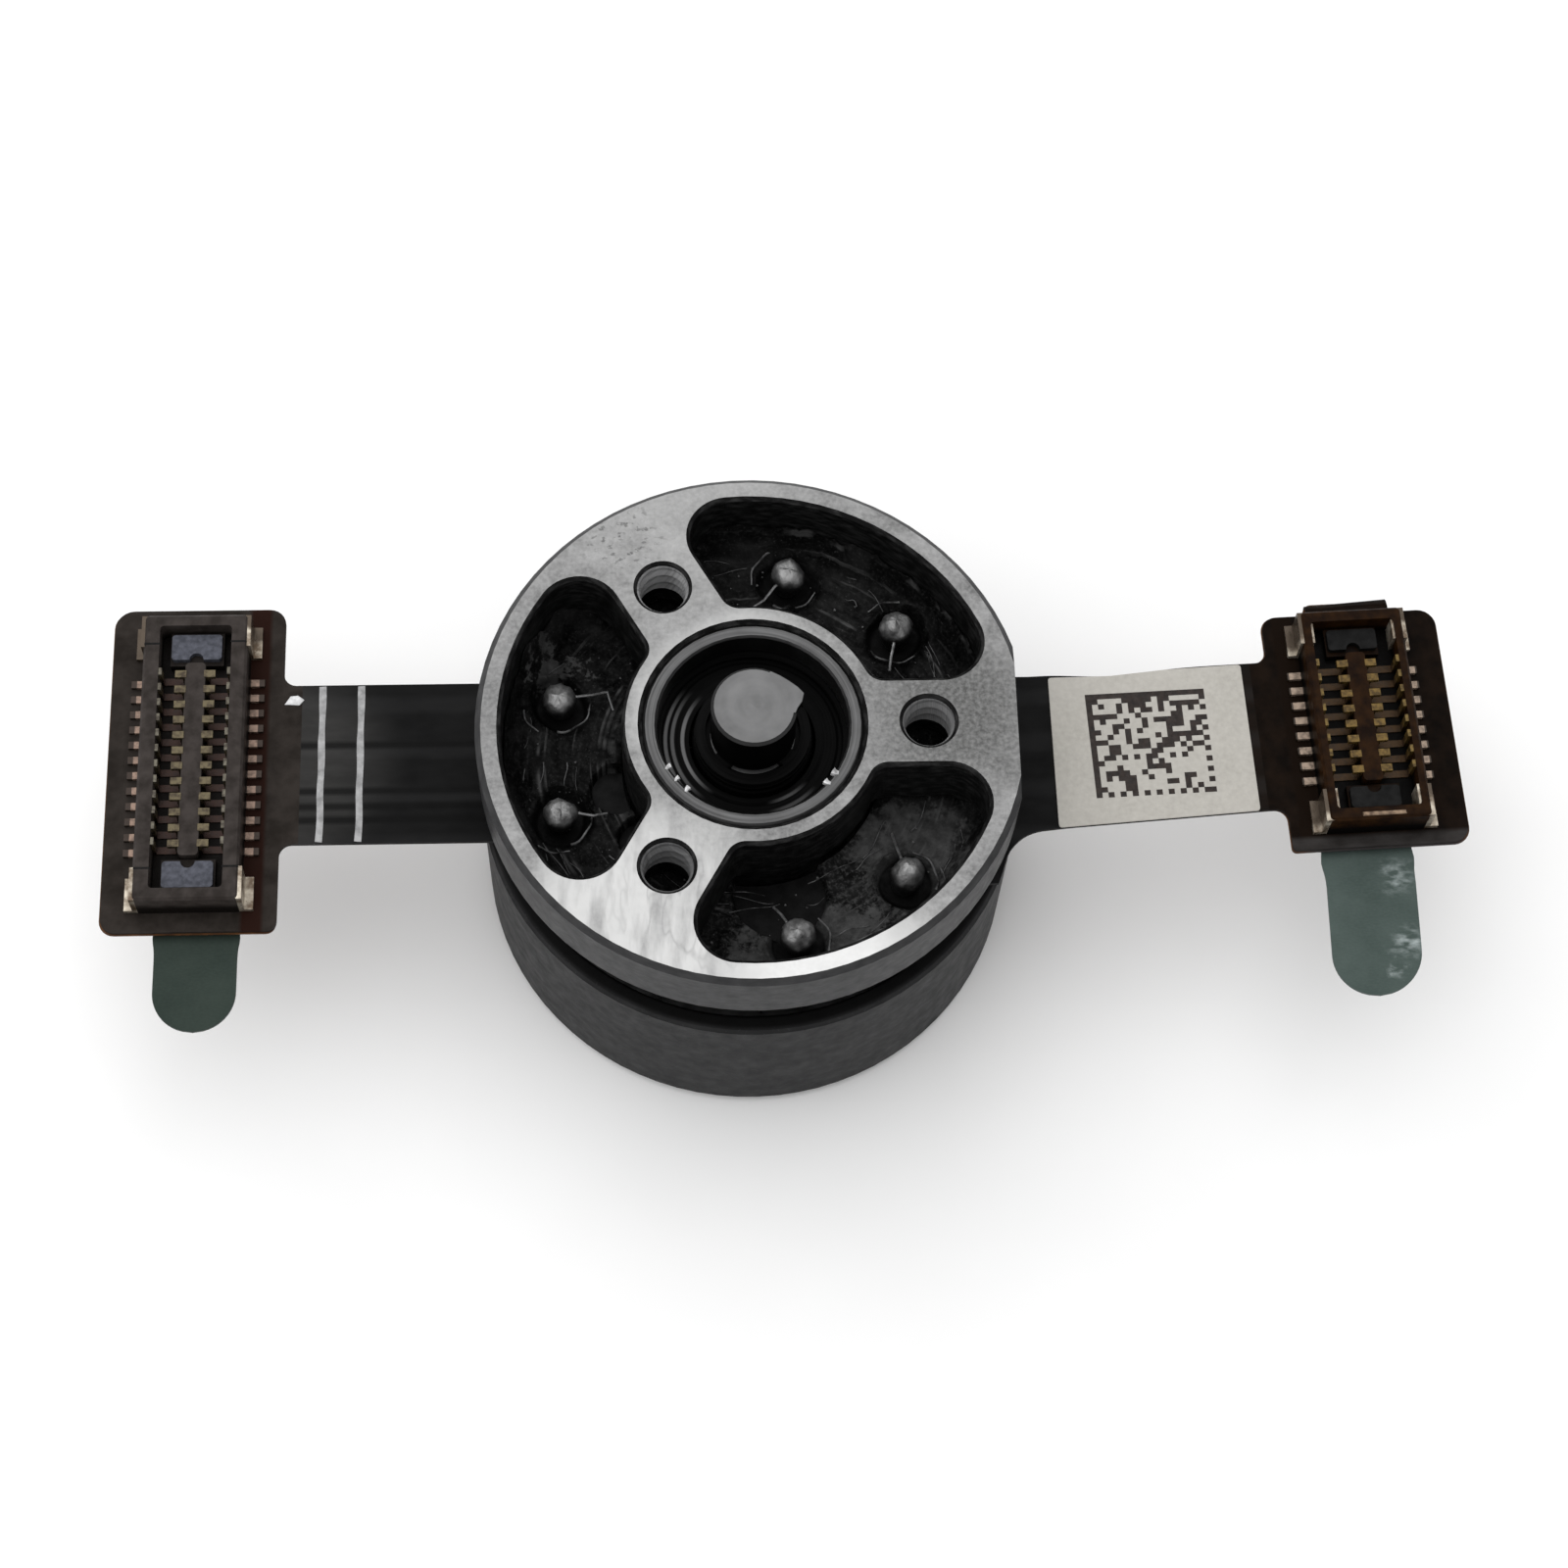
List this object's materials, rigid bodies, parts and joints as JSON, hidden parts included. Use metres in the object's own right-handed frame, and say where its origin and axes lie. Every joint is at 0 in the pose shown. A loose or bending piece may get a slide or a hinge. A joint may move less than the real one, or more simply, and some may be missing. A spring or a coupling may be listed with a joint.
{
  "type": "gimbal motor",
  "caption": "Flat brushless outrunner motor with a spoked mounting plate, a cup rotor and two flexible circuit tails that end in board-to-board connectors.",
  "frame": {"origin": "on the shaft axis, in the flat bottom face of the rotor cup", "axes": "+Z along the shaft from the cup to the mounting plate, +X through one mounting hole and towards the labelled tail"},
  "size_m": [0.0326, 0.013, 0.0093],
  "materials": {
    "plate_aluminium": "satin machined face, darker sides",
    "retainer_steel": "satin",
    "cup_paint": "matte dark grey",
    "flux_steel": "plated",
    "magnet_north": "nickel plated",
    "magnet_south": "nickel plated",
    "shaft_steel": "ground sides, turned end",
    "bearing_steel": "polished",
    "shield_steel": "satin",
    "cage_steel": "satin",
    "clip_steel": "blackened",
    "lamination_steel": "dull",
    "insulator_plastic": "matte",
    "enamelled_copper": "enamelled wire",
    "terminal_board_black": "black solder mask and potting",
    "tinned_brass": "tinned",
    "solder": "dull solder",
    "lead_wire": "tinned, dull",
    "sensor_black": "moulded",
    "flex_black": "black coverlay film",
    "stiffener_board": "dark brown, orange-brown cut edge",
    "tab_film": "translucent grey-green film",
    "label_paper": "matte",
    "connector_plastic": "dark moulded",
    "gold_contacts": "gold plated",
    "anchor_metal": "gold plated, pale",
    "end_plate_metal": "bluish grey"
  },
  "bodies": {
    "stator": {"mount_plate": "plate_aluminium", "bearing_retainer": "retainer_steel", "upper_bearing_outer_ring": "bearing_steel", "upper_bearing_shields": "shield_steel", "lower_bearing_outer_ring": "bearing_steel", "lower_bearing_shields": "shield_steel", "stator_laminations": "lamination_steel", "lower_insulator": "insulator_plastic", "upper_insulator": "insulator_plastic", "coils_phase_a": "enamelled_copper", "coils_phase_b": "enamelled_copper", "coils_phase_c": "enamelled_copper", "terminal_board": "terminal_board_black", "terminal_pins": "tinned_brass", "solder_joints": "solder", "lead_wires": "lead_wire", "position_sensors": "sensor_black", "left_flex_root": "flex_black", "right_flex_root": "flex_black"},
    "rotor": {"rotor_cup": "cup_paint", "flux_ring": "flux_steel", "magnets_north": "magnet_north", "magnets_south": "magnet_south", "shaft": "shaft_steel", "thrust_washer": "bearing_steel", "preload_washer": "bearing_steel", "retaining_clip": "clip_steel", "upper_bearing_inner_ring": "bearing_steel", "lower_bearing_inner_ring": "bearing_steel"},
    "upper_ball_set": {"upper_bearing_balls": "bearing_steel", "upper_bearing_cage": "cage_steel"},
    "lower_ball_set": {"lower_bearing_balls": "bearing_steel", "lower_bearing_cage": "cage_steel"},
    "left_tail": {"left_flex": "flex_black", "left_stiffener": "stiffener_board", "left_pull_tab": "tab_film", "left_connector_housing": "connector_plastic", "left_connector_contacts": "gold_contacts", "left_connector_anchors": "anchor_metal", "left_connector_end_plates": "end_plate_metal"},
    "right_tail": {"right_flex": "flex_black", "right_stiffener": "stiffener_board", "right_pull_tab": "tab_film", "right_label": "label_paper", "right_connector_housing": "connector_plastic", "right_connector_contacts": "gold_contacts", "right_connector_anchors": "anchor_metal", "right_connector_end_plates": "end_plate_metal"}
  },
  "joints": [
    {"name": "rotor_spin", "type": "hinge", "parent": "stator", "child": "rotor", "pos_m": [0, 0, 0.003], "axis": [0, 0, 1], "continuous": true},
    {"name": "upper_balls_orbit", "type": "hinge", "parent": "stator", "child": "upper_ball_set", "pos_m": [0, 0, 0.0063], "axis": [0, 0, 1], "continuous": true},
    {"name": "lower_balls_orbit", "type": "hinge", "parent": "stator", "child": "lower_ball_set", "pos_m": [0, 0, 0.00275], "axis": [0, 0, 1], "continuous": true},
    {"name": "left_tail_bend", "type": "hinge", "parent": "stator", "child": "left_tail", "pos_m": [-0.0076, 0.00028, 0.00568], "axis": [0, 1, 0], "range_deg": [-75, 75], "stiffness_Nm_per_rad": 0.0005},
    {"name": "right_tail_bend", "type": "hinge", "parent": "stator", "child": "right_tail", "pos_m": [0.0072, 0.00035, 0.00568], "axis": [0.0454, -0.999, 0], "range_deg": [-75, 75], "stiffness_Nm_per_rad": 0.0005}
  ],
  "couplings": [
    {"joint": "upper_balls_orbit", "follows": "rotor_spin", "ratio": 0.387},
    {"joint": "lower_balls_orbit", "follows": "rotor_spin", "ratio": 0.387}
  ]
}
